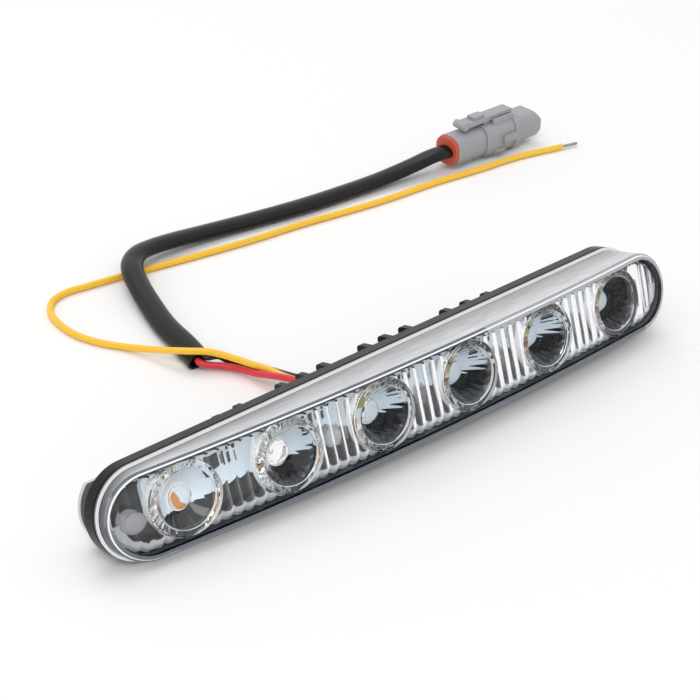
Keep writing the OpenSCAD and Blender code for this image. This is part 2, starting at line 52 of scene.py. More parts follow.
LEAN = math.radians(17.5)
HALF_LENGTH = 85.0
HALF_HEIGHT = 11.0
RUN = HALF_LENGTH - HALF_HEIGHT
LEFT_DEPTH, RIGHT_DEPTH, CROWN = 4.0, 12.0, 5.6
CHORD = math.hypot(2 * HALF_LENGTH, RIGHT_DEPTH - LEFT_DEPTH)
BOW_R = ((CHORD / 2) ** 2 + CROWN ** 2) / (2 * CROWN)
BOW_X = (RIGHT_DEPTH - LEFT_DEPTH) / CHORD * (BOW_R - CROWN)
BOW_Y = 2 * HALF_LENGTH / CHORD * (BOW_R - CROWN) - (LEFT_DEPTH + RIGHT_DEPTH) / 2
# Where the lamp's frame lies along the shared frame's Y
SHIFT_Y = -3.248
MM = 1000.0

# Distances of inner surfaces behind the bowed front
COVER_INSET = 1.55
MOUTH_INSET = 1.85
PLATE_INSET = 2.25

# Collimators: middles, outer radius, and the radii and depth share of the bowl and its lens
FIRST_OPTIC_X, OPTIC_PITCH, OPTIC_COUNT = -64.9, 26.2, 6
OPTIC_X = FIRST_OPTIC_X + OPTIC_PITCH * np.arange(OPTIC_COUNT)
OPTIC_R = 8.65
LENS_R, LENS_RISE = 2.9, 2.3
BOWL_IN, BOWL_OUT, BOWL_SHARE, BOWL_POWER = 3.25, 6.95, 0.62, 0.85
CONE_IN, CONE_OUT, CONE_RISE = 3.7, 8.45, 2.15
FACETS, FACET_DEPTH = 12, 0.03

# Fluted plate: pitch, count and rise of the flutes, depth of the scallops at their ends, and the plate's thickness
FLUTE_PITCH, FLUTE_COUNT, FLUTE_RISE = 2.8, 59, 0.26
SCALLOP = 0.55
PLATE_EDGE = HALF_HEIGHT - 2.3
PLATE_THICK = 1.5

# Clear pegs on the strip: x, z, front y and length; then their half width and half height
PEGS = ((-77.7, -0.5, -4.4, 3.2), (-25.6, -1.0, -8.6, 4.0))
PEG_WIDE, PEG_HIGH = 2.9, 2.3

# Wires leave the grommet's end round this place
WIRE_X = -7.5
GROMMET_END, EXIT_RUN = 9.0, 2.5


def to_row(points):
    """Lamp frame in mm to the shared frame in m: turned by the lean about the lower seam edge, shifted along Y."""
    p = np.asarray(points, float)
    y, z = p[..., 1], p[..., 2] + HALF_HEIGHT
    c, s = math.cos(LEAN), math.sin(LEAN)
    return np.stack([p[..., 0], SHIFT_Y + y * c + z * s, z * c - y * s], axis=-1) / MM


def from_row(points):
    """Shared frame in m back to the lamp frame in mm."""
    p = np.asarray(points, float) * MM
    y, z = p[..., 1] - SHIFT_Y, p[..., 2]
    c, s = math.cos(LEAN), math.sin(LEAN)
    return np.stack([p[..., 0], y * c - z * s, y * s + z * c - HALF_HEIGHT], axis=-1)


def front_y(x, inset=0.0):
    """Depth of the bowed front: y = BOW_Y - sqrt((BOW_R - inset)^2 - (x - BOW_X)^2)."""
    return BOW_Y - np.sqrt((BOW_R - inset) ** 2 - (np.asarray(x, float) - BOW_X) ** 2)


# Mesh helpers

def piece(name, points, faces, smooth=True, merge=0.0):
    """A mesh object from points in metres and quad or triangle faces; doubles within merge are welded."""
    mesh = bpy.data.meshes.new(name)
    faces = faces if isinstance(faces, list) else faces.tolist()
    mesh.from_pydata(np.asarray(points).reshape(-1, 3).tolist(), [], faces)
    mesh.validate()
    if merge > 0:
        bm = bmesh.new()
        bm.from_mesh(mesh)
        bmesh.ops.remove_doubles(bm, verts=bm.verts, dist=merge)
        bmesh.ops.dissolve_degenerate(bm, edges=bm.edges, dist=merge)
        bmesh.ops.recalc_face_normals(bm, faces=bm.faces)
        bm.to_mesh(mesh)
        bm.free()
    if smooth:
        mesh.polygons.foreach_set("use_smooth", np.ones(len(mesh.polygons), bool))
    mesh.update()
    obj = bpy.data.objects.new(name, mesh)
    bpy.context.scene.collection.objects.link(obj)
    return obj


def grid_faces(rows, cols, wrap_rows=False, wrap_cols=False):
    """Quads of a rows x cols grid, numbered row by row, joined round where asked."""
    r = np.arange(rows if wrap_rows else rows - 1)
    c = np.arange(cols if wrap_cols else cols - 1)
    r, c = np.meshgrid(r, c, indexing="ij")
    r2, c2 = (r + 1) % rows, (c + 1) % cols
    return np.stack([r * cols + c, r * cols + c2, r2 * cols + c2, r2 * cols + c], axis=-1).reshape(-1, 4)


def joined(parts):
    """Several (points, faces) as one pair of arrays."""
    base, points, faces = 0, [], []
    for p, f in parts:
        p = np.asarray(p, float).reshape(-1, 3)
        points.append(p)
        faces += [[i + base for i in face] for face in f]
        base += len(p)
    return np.concatenate(points), faces


def sharp(obj, degrees=35.0):
    """Keeps edges over the angle crisp on a smooth mesh."""
    obj.data.set_sharp_from_angle(angle=math.radians(degrees))
    return obj


def outline(straight=110, arc=56):
    """Core points and outward normals round the lamp: a point at inset d is core + (HALF_HEIGHT - d) * normal."""
    x = np.linspace(-RUN, RUN, straight)
    level = np.zeros(straight)
    a = np.radians(np.linspace(90, -90, arc)[1:-1])
    core = np.concatenate([np.stack([x, level], 1), np.full((len(a), 2), (RUN, 0.0)),
                           np.stack([x[::-1], level], 1), np.full((len(a), 2), (-RUN, 0.0))])
    turn = np.stack([np.cos(a), np.sin(a)], 1)
    normal = np.concatenate([np.tile((0.0, 1.0), (straight, 1)), turn, np.tile((0.0, -1.0), (straight, 1)), -turn])
    return core, normal


def outline_inset(x, z, edge=HALF_HEIGHT):
    """How far inside an outline of the given half height a place lies."""
    return edge - np.hypot(np.clip(np.abs(x) - RUN, 0, None), z)


def rounds(profile, core, normal):
    """Rings round the lamp from (inset, kind, value) rows: 'y' is a plane at the value, 'f' the bow inset by it."""
    rings = []
    for inset, kind, value in profile:
        xz = core + (HALF_HEIGHT - inset) * normal
        y = np.full(len(xz), value) if kind == "y" else front_y(xz[:, 0], value)
        rings.append(np.stack([xz[:, 0], y, xz[:, 1]], axis=1))
    return np.array(rings)


def smooth_route(route, spacing):
    """Centripetal Catmull-Rom curve through the route's points, resampled at even spacing (mm)."""
    p = np.asarray(route, float)
    p = np.vstack([2 * p[0] - p[1], p, 2 * p[-1] - p[-2]])
    out = []
    for i in range(1, len(p) - 2):
        p0, p1, p2, p3 = p[i - 1:i + 3]
        t1 = np.linalg.norm(p1 - p0) ** 0.5
        t2 = t1 + np.linalg.norm(p2 - p1) ** 0.5
        t3 = t2 + np.linalg.norm(p3 - p2) ** 0.5
        t = np.linspace(t1, t2, 17)[:-1, None]
        a1 = (t1 - t) / t1 * p0 + t / t1 * p1
        a2 = (t2 - t) / (t2 - t1) * p1 + (t - t1) / (t2 - t1) * p2
        a3 = (t3 - t) / (t3 - t2) * p2 + (t - t2) / (t3 - t2) * p3
        b1 = (t2 - t) / t2 * a1 + t / t2 * a2
        b2 = (t3 - t) / (t3 - t1) * a2 + (t - t1) / (t3 - t1) * a3
        out.append((t2 - t) / (t2 - t1) * b1 + (t - t1) / (t2 - t1) * b2)
    out = np.vstack(out + [p[-2:-1]])
    far = np.concatenate([[0], np.cumsum(np.linalg.norm(np.diff(out, axis=0), axis=1))])
    at = np.linspace(0, far[-1], max(8, int(far[-1] / spacing) + 1))
    return np.stack([np.interp(at, far, out[:, k]) for k in range(3)], axis=1), at


def tube(path, width, height, roll, sides):
    """Oval section along a path: centre + level * cos(a) * w / 2 + up * sin(a) * h / 2, turned by roll."""
    way = np.gradient(path, axis=0)
    way /= np.linalg.norm(way, axis=1)[:, None]
    level = np.cross(way, (0, 0, 1.0))
    level /= np.linalg.norm(level, axis=1)[:, None]
    up = np.cross(level, way)
    roll = np.radians(np.broadcast_to(roll, len(path)))[:, None]
    wide = level * np.cos(roll) + up * np.sin(roll)
    thick = up * np.cos(roll) - level * np.sin(roll)
    a = np.arange(sides) * 2 * math.pi / sides
    w = np.broadcast_to(width, len(path))[:, None, None] / 2
    h = np.broadcast_to(height, len(path))[:, None, None] / 2
    c, s = np.cos(a)[None, :, None], np.sin(a)[None, :, None]
    rings = path[:, None] + wide[:, None] * c * w + thick[:, None] * s * h
    return rings, grid_faces(len(path), sides, wrap_cols=True)


def capped(rings, faces):
    """A tube's rings with a fan over each end."""
    n, sides = rings.shape[:2]
    points = np.vstack([rings.reshape(-1, 3), rings[0].mean(0), rings[-1].mean(0)])
    k = np.arange(sides)
    first = np.stack([(k + 1) % sides, k, np.full(sides, n * sides)], 1)
    last = np.stack([(n - 1) * sides + k, (n - 1) * sides + (k + 1) % sides, np.full(sides, n * sides + 1)], 1)
    return points, faces.tolist() + first.tolist() + last.tolist()


# Material helpers; heights of the bumps in metres

GRAIN_DEPTH, RIPPLE_DEPTH = 0.0002, 0.0003

def new_material(name):
    """A material, its node tree and its shader."""
    m = bpy.data.materials.new(name)
    m.use_nodes = True
    nt = m.node_tree
    return m, nt, nt.nodes["Principled BSDF"]


def put(nt, kind, **values):
    """A node of the kind, with its settings."""
    n = nt.nodes.new(kind)
    for k, v in values.items():
        setattr(n, k, v)
    return n


def moulded_group():
    """Moulded surface: Shade varies slowly about 1, Rough adds a fine mottle, Height is a fine grain."""
    name = "Moulded surface"
    if name in bpy.data.node_groups:
        return bpy.data.node_groups[name]
    g = bpy.data.node_groups.new(name, "ShaderNodeTree")
    for label, default in (("Grain scale", 900.0), ("Mottle scale", 60.0), ("Mottle", 0.15),
                           ("Base roughness", 0.45)):
        s = g.interface.new_socket(label, in_out="INPUT", socket_type="NodeSocketFloat")
        s.default_value = default
    for label in ("Shade", "Rough", "Height"):
        g.interface.new_socket(label, in_out="OUTPUT", socket_type="NodeSocketFloat")
    i, o = g.nodes.new("NodeGroupInput"), g.nodes.new("NodeGroupOutput")
    tc = g.nodes.new("ShaderNodeTexCoord")
    fine = put(g, "ShaderNodeTexNoise")
    fine.inputs["Detail"].default_value = 2.0
    slow = put(g, "ShaderNodeTexNoise")
    slow.inputs["Detail"].default_value = 3.0
    g.links.new(tc.outputs["Object"], fine.inputs["Vector"])
    g.links.new(tc.outputs["Object"], slow.inputs["Vector"])
    g.links.new(i.outputs["Grain scale"], fine.inputs["Scale"])
    g.links.new(i.outputs["Mottle scale"], slow.inputs["Scale"])
    centred = put(g, "ShaderNodeMath", operation="SUBTRACT")
    centred.inputs[1].default_value = 0.5
    g.links.new(slow.outputs["Fac"], centred.inputs[0])
    amount = put(g, "ShaderNodeMath", operation="MULTIPLY")
    g.links.new(centred.outputs[0], amount.inputs[0])
    g.links.new(i.outputs["Mottle"], amount.inputs[1])
    shade = put(g, "ShaderNodeMath", operation="ADD")
    shade.inputs[1].default_value = 1.0
    g.links.new(amount.outputs[0], shade.inputs[0])
    rough = put(g, "ShaderNodeMath", operation="ADD", use_clamp=True)
    g.links.new(amount.outputs[0], rough.inputs[0])
    g.links.new(i.outputs["Base roughness"], rough.inputs[1])
    g.links.new(shade.outputs[0], o.inputs["Shade"])
    g.links.new(rough.outputs[0], o.inputs["Rough"])
    g.links.new(fine.outputs["Fac"], o.inputs["Height"])
    return g


def moulded(nt, b, grain, mottle_scale, mottle, roughness):
    """The moulded surface in a material, with its roughness joined to the shader."""
    g = put(nt, "ShaderNodeGroup")
    g.node_tree = moulded_group()
    g.inputs["Grain scale"].default_value = grain
    g.inputs["Mottle scale"].default_value = mottle_scale
    g.inputs["Mottle"].default_value = mottle
    g.inputs["Base roughness"].default_value = roughness
    nt.links.new(g.outputs["Rough"], b.inputs["Roughness"])
    return g


def bumped(nt, b, height, strength, distance):
    """Joins a bump from the height to the shader."""
    bump = put(nt, "ShaderNodeBump")
    bump.inputs["Strength"].default_value = strength
    bump.inputs["Distance"].default_value = distance
    nt.links.new(height, bump.inputs["Height"])
    nt.links.new(bump.outputs["Normal"], b.inputs["Normal"])


def plastic(name, colour, roughness, grain=900.0, mottle=0.15, bump=0.08, mottle_scale=60.0, **sockets):
    """Moulded plastic, rubber or metal: the colour shaded by the mottle, a grain bump, and plain sockets."""
    m, nt, b = new_material(name)
    g = moulded(nt, b, grain, mottle_scale, mottle, roughness)
    mix = put(nt, "ShaderNodeMix", data_type="RGBA", blend_type="MULTIPLY")
    mix.inputs["Factor"].default_value = 1.0
    mix.inputs["A"].default_value = (*colour, 1)
    nt.links.new(g.outputs["Shade"], mix.inputs["B"])
    nt.links.new(mix.outputs["Result"], b.inputs["Base Color"])
    bumped(nt, b, g.outputs["Height"], bump, GRAIN_DEPTH)
    for k, v in sockets.items():
        b.inputs[k.replace("_", " ")].default_value = v
    return m


def clear_plastic(name, tint, roughness, ior, ripple=0.0, clear=1.0):
    """Clear moulded plastic with a faint flow ripple in its gloss; clear below 1 makes it milky."""
    m, nt, b = new_material(name)
    b.inputs["Base Color"].default_value = (*tint, 1)
    b.inputs["Transmission Weight"].default_value = clear
    b.inputs["IOR"].default_value = ior
    g = moulded(nt, b, 140.0, 90.0, 0.03, roughness)
    bumped(nt, b, g.outputs["Height"], ripple, RIPPLE_DEPTH)
    lamps_through(nt, b)
    return m


def lamps_through(nt, b):
    """Lets the lamps' light pass: the surface is see-through for shadow rays."""
    path = nt.nodes.new("ShaderNodeLightPath")
    clear = nt.nodes.new("ShaderNodeBsdfTransparent")
    mix = nt.nodes.new("ShaderNodeMixShader")
    out = next(n for n in nt.nodes if n.type == "OUTPUT_MATERIAL")
    nt.links.new(path.outputs["Is Shadow Ray"], mix.inputs["Fac"])
    nt.links.new(b.outputs[0], mix.inputs[1])
    nt.links.new(clear.outputs[0], mix.inputs[2])
    nt.links.new(mix.outputs[0], out.inputs["Surface"])


def dress(node, material):
    """Gives a CAD node its material."""
    mesh = NODES[node].data
    mesh.materials.clear()
    mesh.materials.append(material)


def finish_piece(obj, slot, *materials):
    """Gives a new piece its materials and body; slot is not used."""
    for material in materials:
        obj.data.materials.append(material)
    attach(obj, "root")


def face_centres(obj):
    """Middles of a piece's faces in the lamp frame."""
    centres = np.empty(len(obj.data.polygons) * 3)
    obj.data.polygons.foreach_get("center", centres)
    return from_row(centres.reshape(-1, 3))


def give_finishes(obj, index):
    """Gives each face the material that its number names."""
    obj.data.polygons.foreach_set("material_index", index)
    obj.data.update()


# Settings

def colour(name, description, default):
    """A colour in the panel."""
    return bpy.props.FloatVectorProperty(name=name, description=description, default=default, size=3,
                                         subtype="COLOR", min=0, max=1)


def length(name, description, default, least, most):
    """A length in the panel."""
    return bpy.props.FloatProperty(name=name, description=description, default=default, min=least, max=most,
                                   unit="LENGTH")


class LampLook(bpy.types.PropertyGroup):
    """Colours and finish of the lamp and the lead"""
    housing_colour: colour("Housing", "Colour of the moulded housing", (0.006, 0.006, 0.0065))
    board_colour: colour("Board", "Colour of the board's mask", (0.78, 0.89, 0.98))
    yellow_colour: colour("Yellow wire", "Colour of the signal wire", (0.98, 0.57, 0.03))
    red_colour: colour("Red wire", "Colour of the supply wire", (0.72, 0.03, 0.05))
    plug_colour: colour("Plug", "Colour of the plug's body", (0.36, 0.37, 0.395))
    cover_roughness: bpy.props.FloatProperty(name="Cover roughness", description="Roughness of the clear cover",
                                             default=0.02, min=0, max=1, subtype="FACTOR")


class LampSizes(bpy.types.PropertyGroup):
    """Sizes of the lead"""
    wire_diameter: length("Wire", "Diameter of a wire over its insulation", 0.0018, 0.001, 0.003)
    sleeve_width: length("Sleeve width", "Width of the flat sleeve", 0.0064, 0.005, 0.008)
    sleeve_thickness: length("Sleeve thickness", "Thickness of the flat sleeve", 0.004, 0.002, 0.005)


# Camera and lead

class LAMP_OT_camera(bpy.types.Operator):
    """Adds the camera at the photograph's viewing angle"""
    bl_idname = "lamp.camera"
    bl_label = "Camera"

    def execute(self, context):
        data = bpy.data.cameras.new("View")
        data.sensor_width = 36.0
        data.lens = 85.80
        data.clip_start = 0.01
        cam = bpy.data.objects.new("View", data)
        context.scene.collection.objects.link(cam)
        right = Vector((0.759920, -0.650017, 0.0))
        up = Vector((0.342464, 0.400367, 0.849956))
        forward = Vector((0.552486, 0.645898, -0.526854))
        m = Matrix((right, up, -forward)).transposed().to_4x4()
        m.translation = Vector((-0.22580, -0.24410 + SHIFT_Y / MM, 0.22882))
        cam.matrix_world = m
        context.scene.camera = cam
        return {"FINISHED"}


# Routes in millimetres, from the lamp outwards

def exit_points(x, z):
    """Where a wire leaves the grommet's end, and a point further out."""
    return (to_row([[x, GROMMET_END, z], [x, GROMMET_END + EXIT_RUN, z]]) * MM).tolist()


# Sleeve: its mouth, its way there, its roll in degrees at each route point, and the mouth's wide side
SLEEVE_MOUTH = np.array([-20.9, 51.6, 2.5])
SLEEVE_WAY = np.array([0.19, 0.98, 0.0]) / math.hypot(0.19, 0.98)
SLEEVE_ROLL = [30, 28, 22, 12] + [0] * 15
MOUTH_ROLL = math.radians(SLEEVE_ROLL[0])
MOUTH_SIDE = np.append(np.cross(SLEEVE_WAY, (0, 0, 1.0))[:2] * math.cos(MOUTH_ROLL), math.sin(MOUTH_ROLL))


def mouth_end(side):
    """A wire's last two points, just outside the sleeve's mouth and in it, the given way off its middle."""
    return [(SLEEVE_MOUTH + side * MOUTH_SIDE + run * SLEEVE_WAY).tolist() for run in (-1.2, 0.0)]


RED_ROUTE = exit_points(WIRE_X - 1.1, 0.7) + [
    [-9.4, 16, 6.6], [-11.4, 25.5, 5.4], [-12.4, 29.6, 4.6], [-13, 33.6, 3.4], [-13.6, 37.6, 2.2],
    [-14.5, 42.6, 1.4], [-16.7, 46.2, 1.5], [-19.6, 48.8, 1.7]] + mouth_end(-0.3)
BLACK_ROUTE = exit_points(WIRE_X + 1.1, 0.7) + [
    [-5.2, 16, 5.6], [-5, 22, 3.4], [-5.6, 28, 1.8], [-6.8, 33, 1.1], [-8.4, 37.4, 1], [-10.2, 41.6, 1],
    [-12.6, 45.2, 1.2], [-14.9, 47.4, 2], [-16.5, 48.9, 3.2]] + mouth_end(1.9)
YELLOW_ROUTE = exit_points(WIRE_X, -1.2) + [
    [-7.5, 16, 5], [-7.7, 21, 4.3], [-9.6, 28.2, 3.5], [-10.4, 31.1, 3.5], [-10.9, 33.8, 3.6],
    [-11.5, 36.4, 3.5], [-12.7, 38.7, 3.7], [-14.4, 42.6, 4], [-16.6, 46.4, 4.6], [-19.5, 49.4, 5.4],
    [-23, 52.8, 5.4], [-25.2, 57.6, 4.2], [-27.2, 63.8, 2.4], [-30.4, 71, 1.1], [-34.2, 77.4, 1], [-36.8, 85, 1],
    [-37, 93, 1], [-35.4, 99.4, 1], [-31.8, 103.8, 1], [-26.6, 105.4, 1], [-20, 104.6, 1],
    [-10, 103.2, 1], [0, 101.4, 1], [14, 99, 1], [30, 96.6, 1], [47, 94.9, 1],
    [76, 90.9, 1], [97, 89.6, 1], [113, 87.6, 1], [130, 86, 1], [146, 82.2, 1]]
SLEEVE_ROUTE = [SLEEVE_MOUTH.tolist(), (SLEEVE_MOUTH + 8.5 * SLEEVE_WAY).tolist(), [-17.6, 70.8, 2.4],
    [-14.9, 81.4, 2.9], [-12.2, 90.6, 3.8], [-9.6, 97.6, 4.6], [-6.4, 102.4, 4.7],
    [-2.2, 105.4, 4.7], [3, 106.8, 4.2], [11.6, 107.3, 3.4], [20.4, 106.95, 2.6],
    [36.6, 104.8, 2.1], [53.5, 102.3, 2.1], [68.2, 101.1, 2.1], [83.2, 99.8, 2.6],
    [95, 98.2, 4.2], [102, 97, 5.6], [104.8, 96.3, 6], [107.8, 96.3, 6]]


WIRE_SIDES, WIRE_SPACING = 18, 0.9
SLEEVE_SIDES, SLEEVE_SPACING = 28, 1.3
# The sleeve is hollow over its first rings, and this much narrower inside
HOLLOW_RINGS, HOLLOW_STEP = 6, 1.1
# Bare strands: their count, diameter and winding radius, and how far they run out and turn
STRAND_COUNT, STRAND_D, STRAND_R = 7, 0.34, 0.34
STRAND_LENGTH, STRAND_STAGGER, STRAND_TURN = 5.9, 0.25, 2.6


def wire_piece(name, route, diameter, material, slot, node, **facts):
    """A round wire along its route."""
    path, far = smooth_route(route, WIRE_SPACING)
    rings, faces = tube(path, diameter, diameter, 0.0, WIRE_SIDES)
    points, faces = capped(rings, faces)
    obj = sharp(piece(name, points / MM, faces), 50)
    finish_piece(obj, slot, material)
    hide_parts(node)


class LAMP_OT_lead(bpy.types.Operator):
    """Adds the wires, the bare strands and the flat sleeve"""
    bl_idname = "lamp.lead"
    bl_label = "Lead"

    def execute(self, context):
        look, sizes = context.scene.lamp_look, context.scene.lamp_sizes
        d = sizes.wire_diameter * MM
        red = plastic("red_insulation", look.red_colour, 0.34, grain=700, bump=0.05, mottle=0.12)
        black = plastic("black_insulation", (0.012, 0.012, 0.013), 0.36, grain=700, bump=0.05)
        yellow = plastic("yellow_insulation", look.yellow_colour, 0.36, grain=700, bump=0.05, mottle=0.14)
        tin = plastic("tinned_strands", (0.42, 0.41, 0.4), 0.35, grain=2500, bump=0.25, Metallic=1.0)
        wire_piece("red_lead", RED_ROUTE, d, red, "red_insulation", "red_wire", far_end="object", stiffness="limp")
        wire_piece("black_lead", BLACK_ROUTE, d, black, "black_insulation", "black_wire", far_end="object",
                   stiffness="limp")
        strands = self.strands(tin)
        wire_piece("yellow_lead", YELLOW_ROUTE, d, yellow, "yellow_insulation", "yellow_wire", far_end="bare",
                   stiffness="limp", with_pieces=[strands])
        self.sleeve(sizes)
        return {"FINISHED"}

    def strands(self, material):
        """One straight strand and six wound round it: each is a helix about the wire's last line."""
        end = np.array(YELLOW_ROUTE[-1], float)
        way = end - np.array(YELLOW_ROUTE[-2], float)
        way /= np.linalg.norm(way)
        side = np.cross(way, (0, 0, 1.0))
        side /= np.linalg.norm(side)
        up = np.cross(side, way)
        t = np.linspace(0, 1, 22)
        parts = []
        for k in range(STRAND_COUNT):
            r = STRAND_R if k else 0.0
            a = k * math.pi / 3 + t * STRAND_TURN
            run = t * (STRAND_LENGTH - STRAND_STAGGER * (k % 3))
            path = end + np.outer(run, way) + np.outer(r * np.cos(a), side) + np.outer(r * np.sin(a), up)
            parts.append(capped(*tube(path, STRAND_D, STRAND_D, 0.0, 8)))
        points, faces = joined(parts)
        obj = sharp(piece("tinned_ends", points / MM, faces), 50)
        finish_piece(obj, "tinned_strands", material)
        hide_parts("yellow_wire_strands")
        return obj

    def sleeve(self, sizes):
        """Oval sleeve; its first millimetres are hollow, made by turning the mouth's ring inwards."""
        w, h = sizes.sleeve_width * MM, sizes.sleeve_thickness * MM
        path, far = smooth_route(SLEEVE_ROUTE, SLEEVE_SPACING)
        steps = np.linalg.norm(np.diff(np.array(SLEEVE_ROUTE), axis=0), axis=1)
        knots = np.concatenate([[0], np.cumsum(steps)])
        roll = np.interp(far, knots * far[-1] / knots[-1], SLEEVE_ROLL)
        rings, _ = tube(path, w, h, roll, SLEEVE_SIDES)
        hollow, _ = tube(path[:HOLLOW_RINGS], w - HOLLOW_STEP, h - HOLLOW_STEP, roll[:HOLLOW_RINGS], SLEEVE_SIDES)
        rings = np.concatenate([hollow[::-1], rings])
        points, faces = capped(rings, grid_faces(len(rings), SLEEVE_SIDES, wrap_cols=True))
        obj = sharp(piece("flat_sleeve", points / MM, faces), 50)
        m = plastic("sleeve_plastic", (0.004, 0.004, 0.0045), 0.25, grain=260, bump=0.08, mottle=0.16,
                    mottle_scale=35, Specular_IOR_Level=0.3)
        finish_piece(obj, "sleeve_black", m)
        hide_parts("cable_sleeve")


# Lamp pieces

class LAMP_OT_cover(bpy.types.Operator):
    """Adds the clear cover: flange, side wall, stepped rim and bowed front, as one closed shell"""
    bl_idname = "lamp.cover"
    bl_label = "Clear cover"

    def execute(self, context):
        core, normal = outline()
        outer = [(d, "f", 0.0) for d in (11, 9, 7, 5, 3.4, 2.2, 1.6)] + [
            (1.38, "f", 0.04), (1.25, "f", 0.16), (1.2, "f", 0.32), (1.12, "f", 0.46), (0.95, "f", 0.52),
            (0.8, "f", 0.6), (0.71, "f", 0.76), (0.7, "f", 1.0), (0.7, "y", -1.1), (0.64, "y", -0.9),
            (0.5, "y", -0.8), (0.12, "y", -0.8), (0.03, "y", -0.77), (0.0, "y", -0.68), (0.0, "y", -0.1),
            (0.03, "y", -0.03), (0.12, "y", 0.0)]
        inner = [(1.85, "y", 0.0), (2.0, "y", -0.12), (2.0, "f", 1.95), (2.06, "f", 1.72), (2.25, "f", 1.58)] + [
            (d, "f", COVER_INSET) for d in (2.6, 3.4, 5, 7, 9, 11)]
        rings = rounds(outer + inner, core, normal)
        faces = grid_faces(*rings.shape[:2], wrap_cols=True)
        obj = sharp(piece("clear_cover", to_row(rings.reshape(-1, 3)), faces, merge=1e-6), 40)
        roughness = context.scene.lamp_look.cover_roughness
        # The numbers below are the materials' places in this list. All but the clear cover and the side wall are
        # painted light and shade on clear plastic: white painted highlight lines, a grey shaded copy of them along
        # the lower edge, dark painted shade in the corners and round the rim, and a paler lit copy of the rim.
        cover, side, painted_highlight, corner_shade, rim, line, painted_light_rim = range(7)
        finish_piece(obj, "clear_cover",
                     clear_plastic("cover_plastic", (0.98, 0.985, 0.99), roughness, 1.14),
                     shaded_side_wall_plastic("side_wall_painted_shade"),
                     plastic("flange_painted_highlight", (0.95, 0.955, 0.96), 0.15, grain=500, mottle=0.04, bump=0.02),
                     plastic("inner_corner_painted_shade", (0.075, 0.083, 0.1), 0.2, grain=500, bump=0.02),
                     clear_plastic("rim_painted_shade", (0.26, 0.29, 0.35), 0.05, 1.4, clear=0.45),
                     plastic("lower_line_painted_shade", (0.42, 0.43, 0.46), 0.2, grain=500, bump=0.02),
                     clear_plastic("rim_painted_light", (0.74, 0.76, 0.79), 0.05, 1.4, clear=0.45))
        self.paint_wall_shade(obj)
        c = face_centres(obj)
        x, y, z = c.T
        inset = outline_inset(x, z, HALF_HEIGHT)
        behind = y - front_y(x)
        face = (inset > 0.72) & (behind < 1.3)
        edge_line = face & (inset > 1.1) & (inset < 1.33)
        flange = inset < 0.72
        index = np.full(len(c), cover, np.int32)
        index[(inset < 0.85) & (behind > 1.2)] = side
        # Painted shade: a dark, half clear band round the front's rim; on the right end and upper right a paler lit
        # copy of it, painted light
        index[face & (inset < np.where(z < 0, 2.1, 1.4))] = rim
        index[face & (inset < 2.1) & ((x > RUN) | ((x > 20) & ~(z < 0)))] = painted_light_rim
        # Painted highlight: a white line round the front's edge; along the lower edge it becomes a grey copy,
        # painted shade
        index[edge_line] = painted_highlight
        index[edge_line & (z < -7) & (x > -70)] = line
        # Painted highlight: a white line along the flange's front
        index[flange & (y > -0.92)] = painted_highlight
        # Painted shade: dark grey on the flange's back and in the inner step's corner
        index[flange & (y > -0.7)] = corner_shade
        index[(inset > 1.9) & (inset < 2.3) & (behind > 1.5) & (y < -1.5)] = corner_shade
        give_finishes(obj, index)
        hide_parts("outer_cover")
        return {"FINISHED"}

    def paint_wall_shade(self, obj):
        """Painted light and shade on the side wall, kept as its pale attribute: palest on the upper side, darker
        near the seam and at the left end, darkest below.
        """
        points = np.empty(len(obj.data.vertices) * 3)
        obj.data.vertices.foreach_get("co", points)
        x, y, z = from_row(points.reshape(-1, 3)).T
        up = z / np.hypot(np.clip(np.abs(x) - RUN, 0, None), z).clip(0.1)
        pale = np.clip((up + 0.1) / 0.9, 0, 1)
        pale = pale * np.clip((-y - 0.9) / np.interp(x, (-80, -30), (1.8, 0.5)), 0.3, 1)
        pale *= np.clip((x + HALF_LENGTH) / 15, 0.12, 1)
        obj.data.attributes.new("pale", "FLOAT", "POINT").data.foreach_set("value", pale)


def shaded_side_wall_plastic(name):
    """Clear wall with a soft haze and fine slanting streaks; its colour runs from dark painted shade to pale
    painted light along the pale attribute.
    """
    m, nt, b = new_material(name)
    b.inputs["Transmission Weight"].default_value = 0.15
    b.inputs["IOR"].default_value = 1.49
    tc = nt.nodes.new("ShaderNodeTexCoord")
    turn = nt.nodes.new("ShaderNodeMapping")
    turn.inputs["Rotation"].default_value = (0, 0, math.radians(35))
    turn.inputs["Scale"].default_value = (1.0, 5.0, 3.0)
    streaks = put(nt, "ShaderNodeTexNoise")
    streaks.inputs["Scale"].default_value = 150.0
    streaks.inputs["Detail"].default_value = 4.0
    nt.links.new(tc.outputs["Object"], turn.inputs["Vector"])
    nt.links.new(turn.outputs["Vector"], streaks.inputs["Vector"])
    ramp = nt.nodes.new("ShaderNodeValToRGB")
    ramp.color_ramp.elements[0].position, ramp.color_ramp.elements[1].position = 0.3, 0.72
    ramp.color_ramp.elements[0].color = (0.66, 0.67, 0.7, 1)
    ramp.color_ramp.elements[1].color = (0.88, 0.885, 0.9, 1)
    nt.links.new(streaks.outputs["Fac"], ramp.inputs["Fac"])
    # Painted light and shade: the pale attribute mixes the dark grey shade with the streaked pale colour
    pale = put(nt, "ShaderNodeAttribute", attribute_name="pale")
    mix = put(nt, "ShaderNodeMix", data_type="RGBA")
    mix.inputs["A"].default_value = (0.07, 0.07, 0.076, 1)
    nt.links.new(pale.outputs["Fac"], mix.inputs["Factor"])
    nt.links.new(ramp.outputs["Color"], mix.inputs["B"])
    nt.links.new(mix.outputs["Result"], b.inputs["Base Color"])
    b.inputs["Roughness"].default_value = 0.12
    bumped(nt, b, streaks.outputs["Fac"], 0.12, RIPPLE_DEPTH)
    lamps_through(nt, b)
    return m


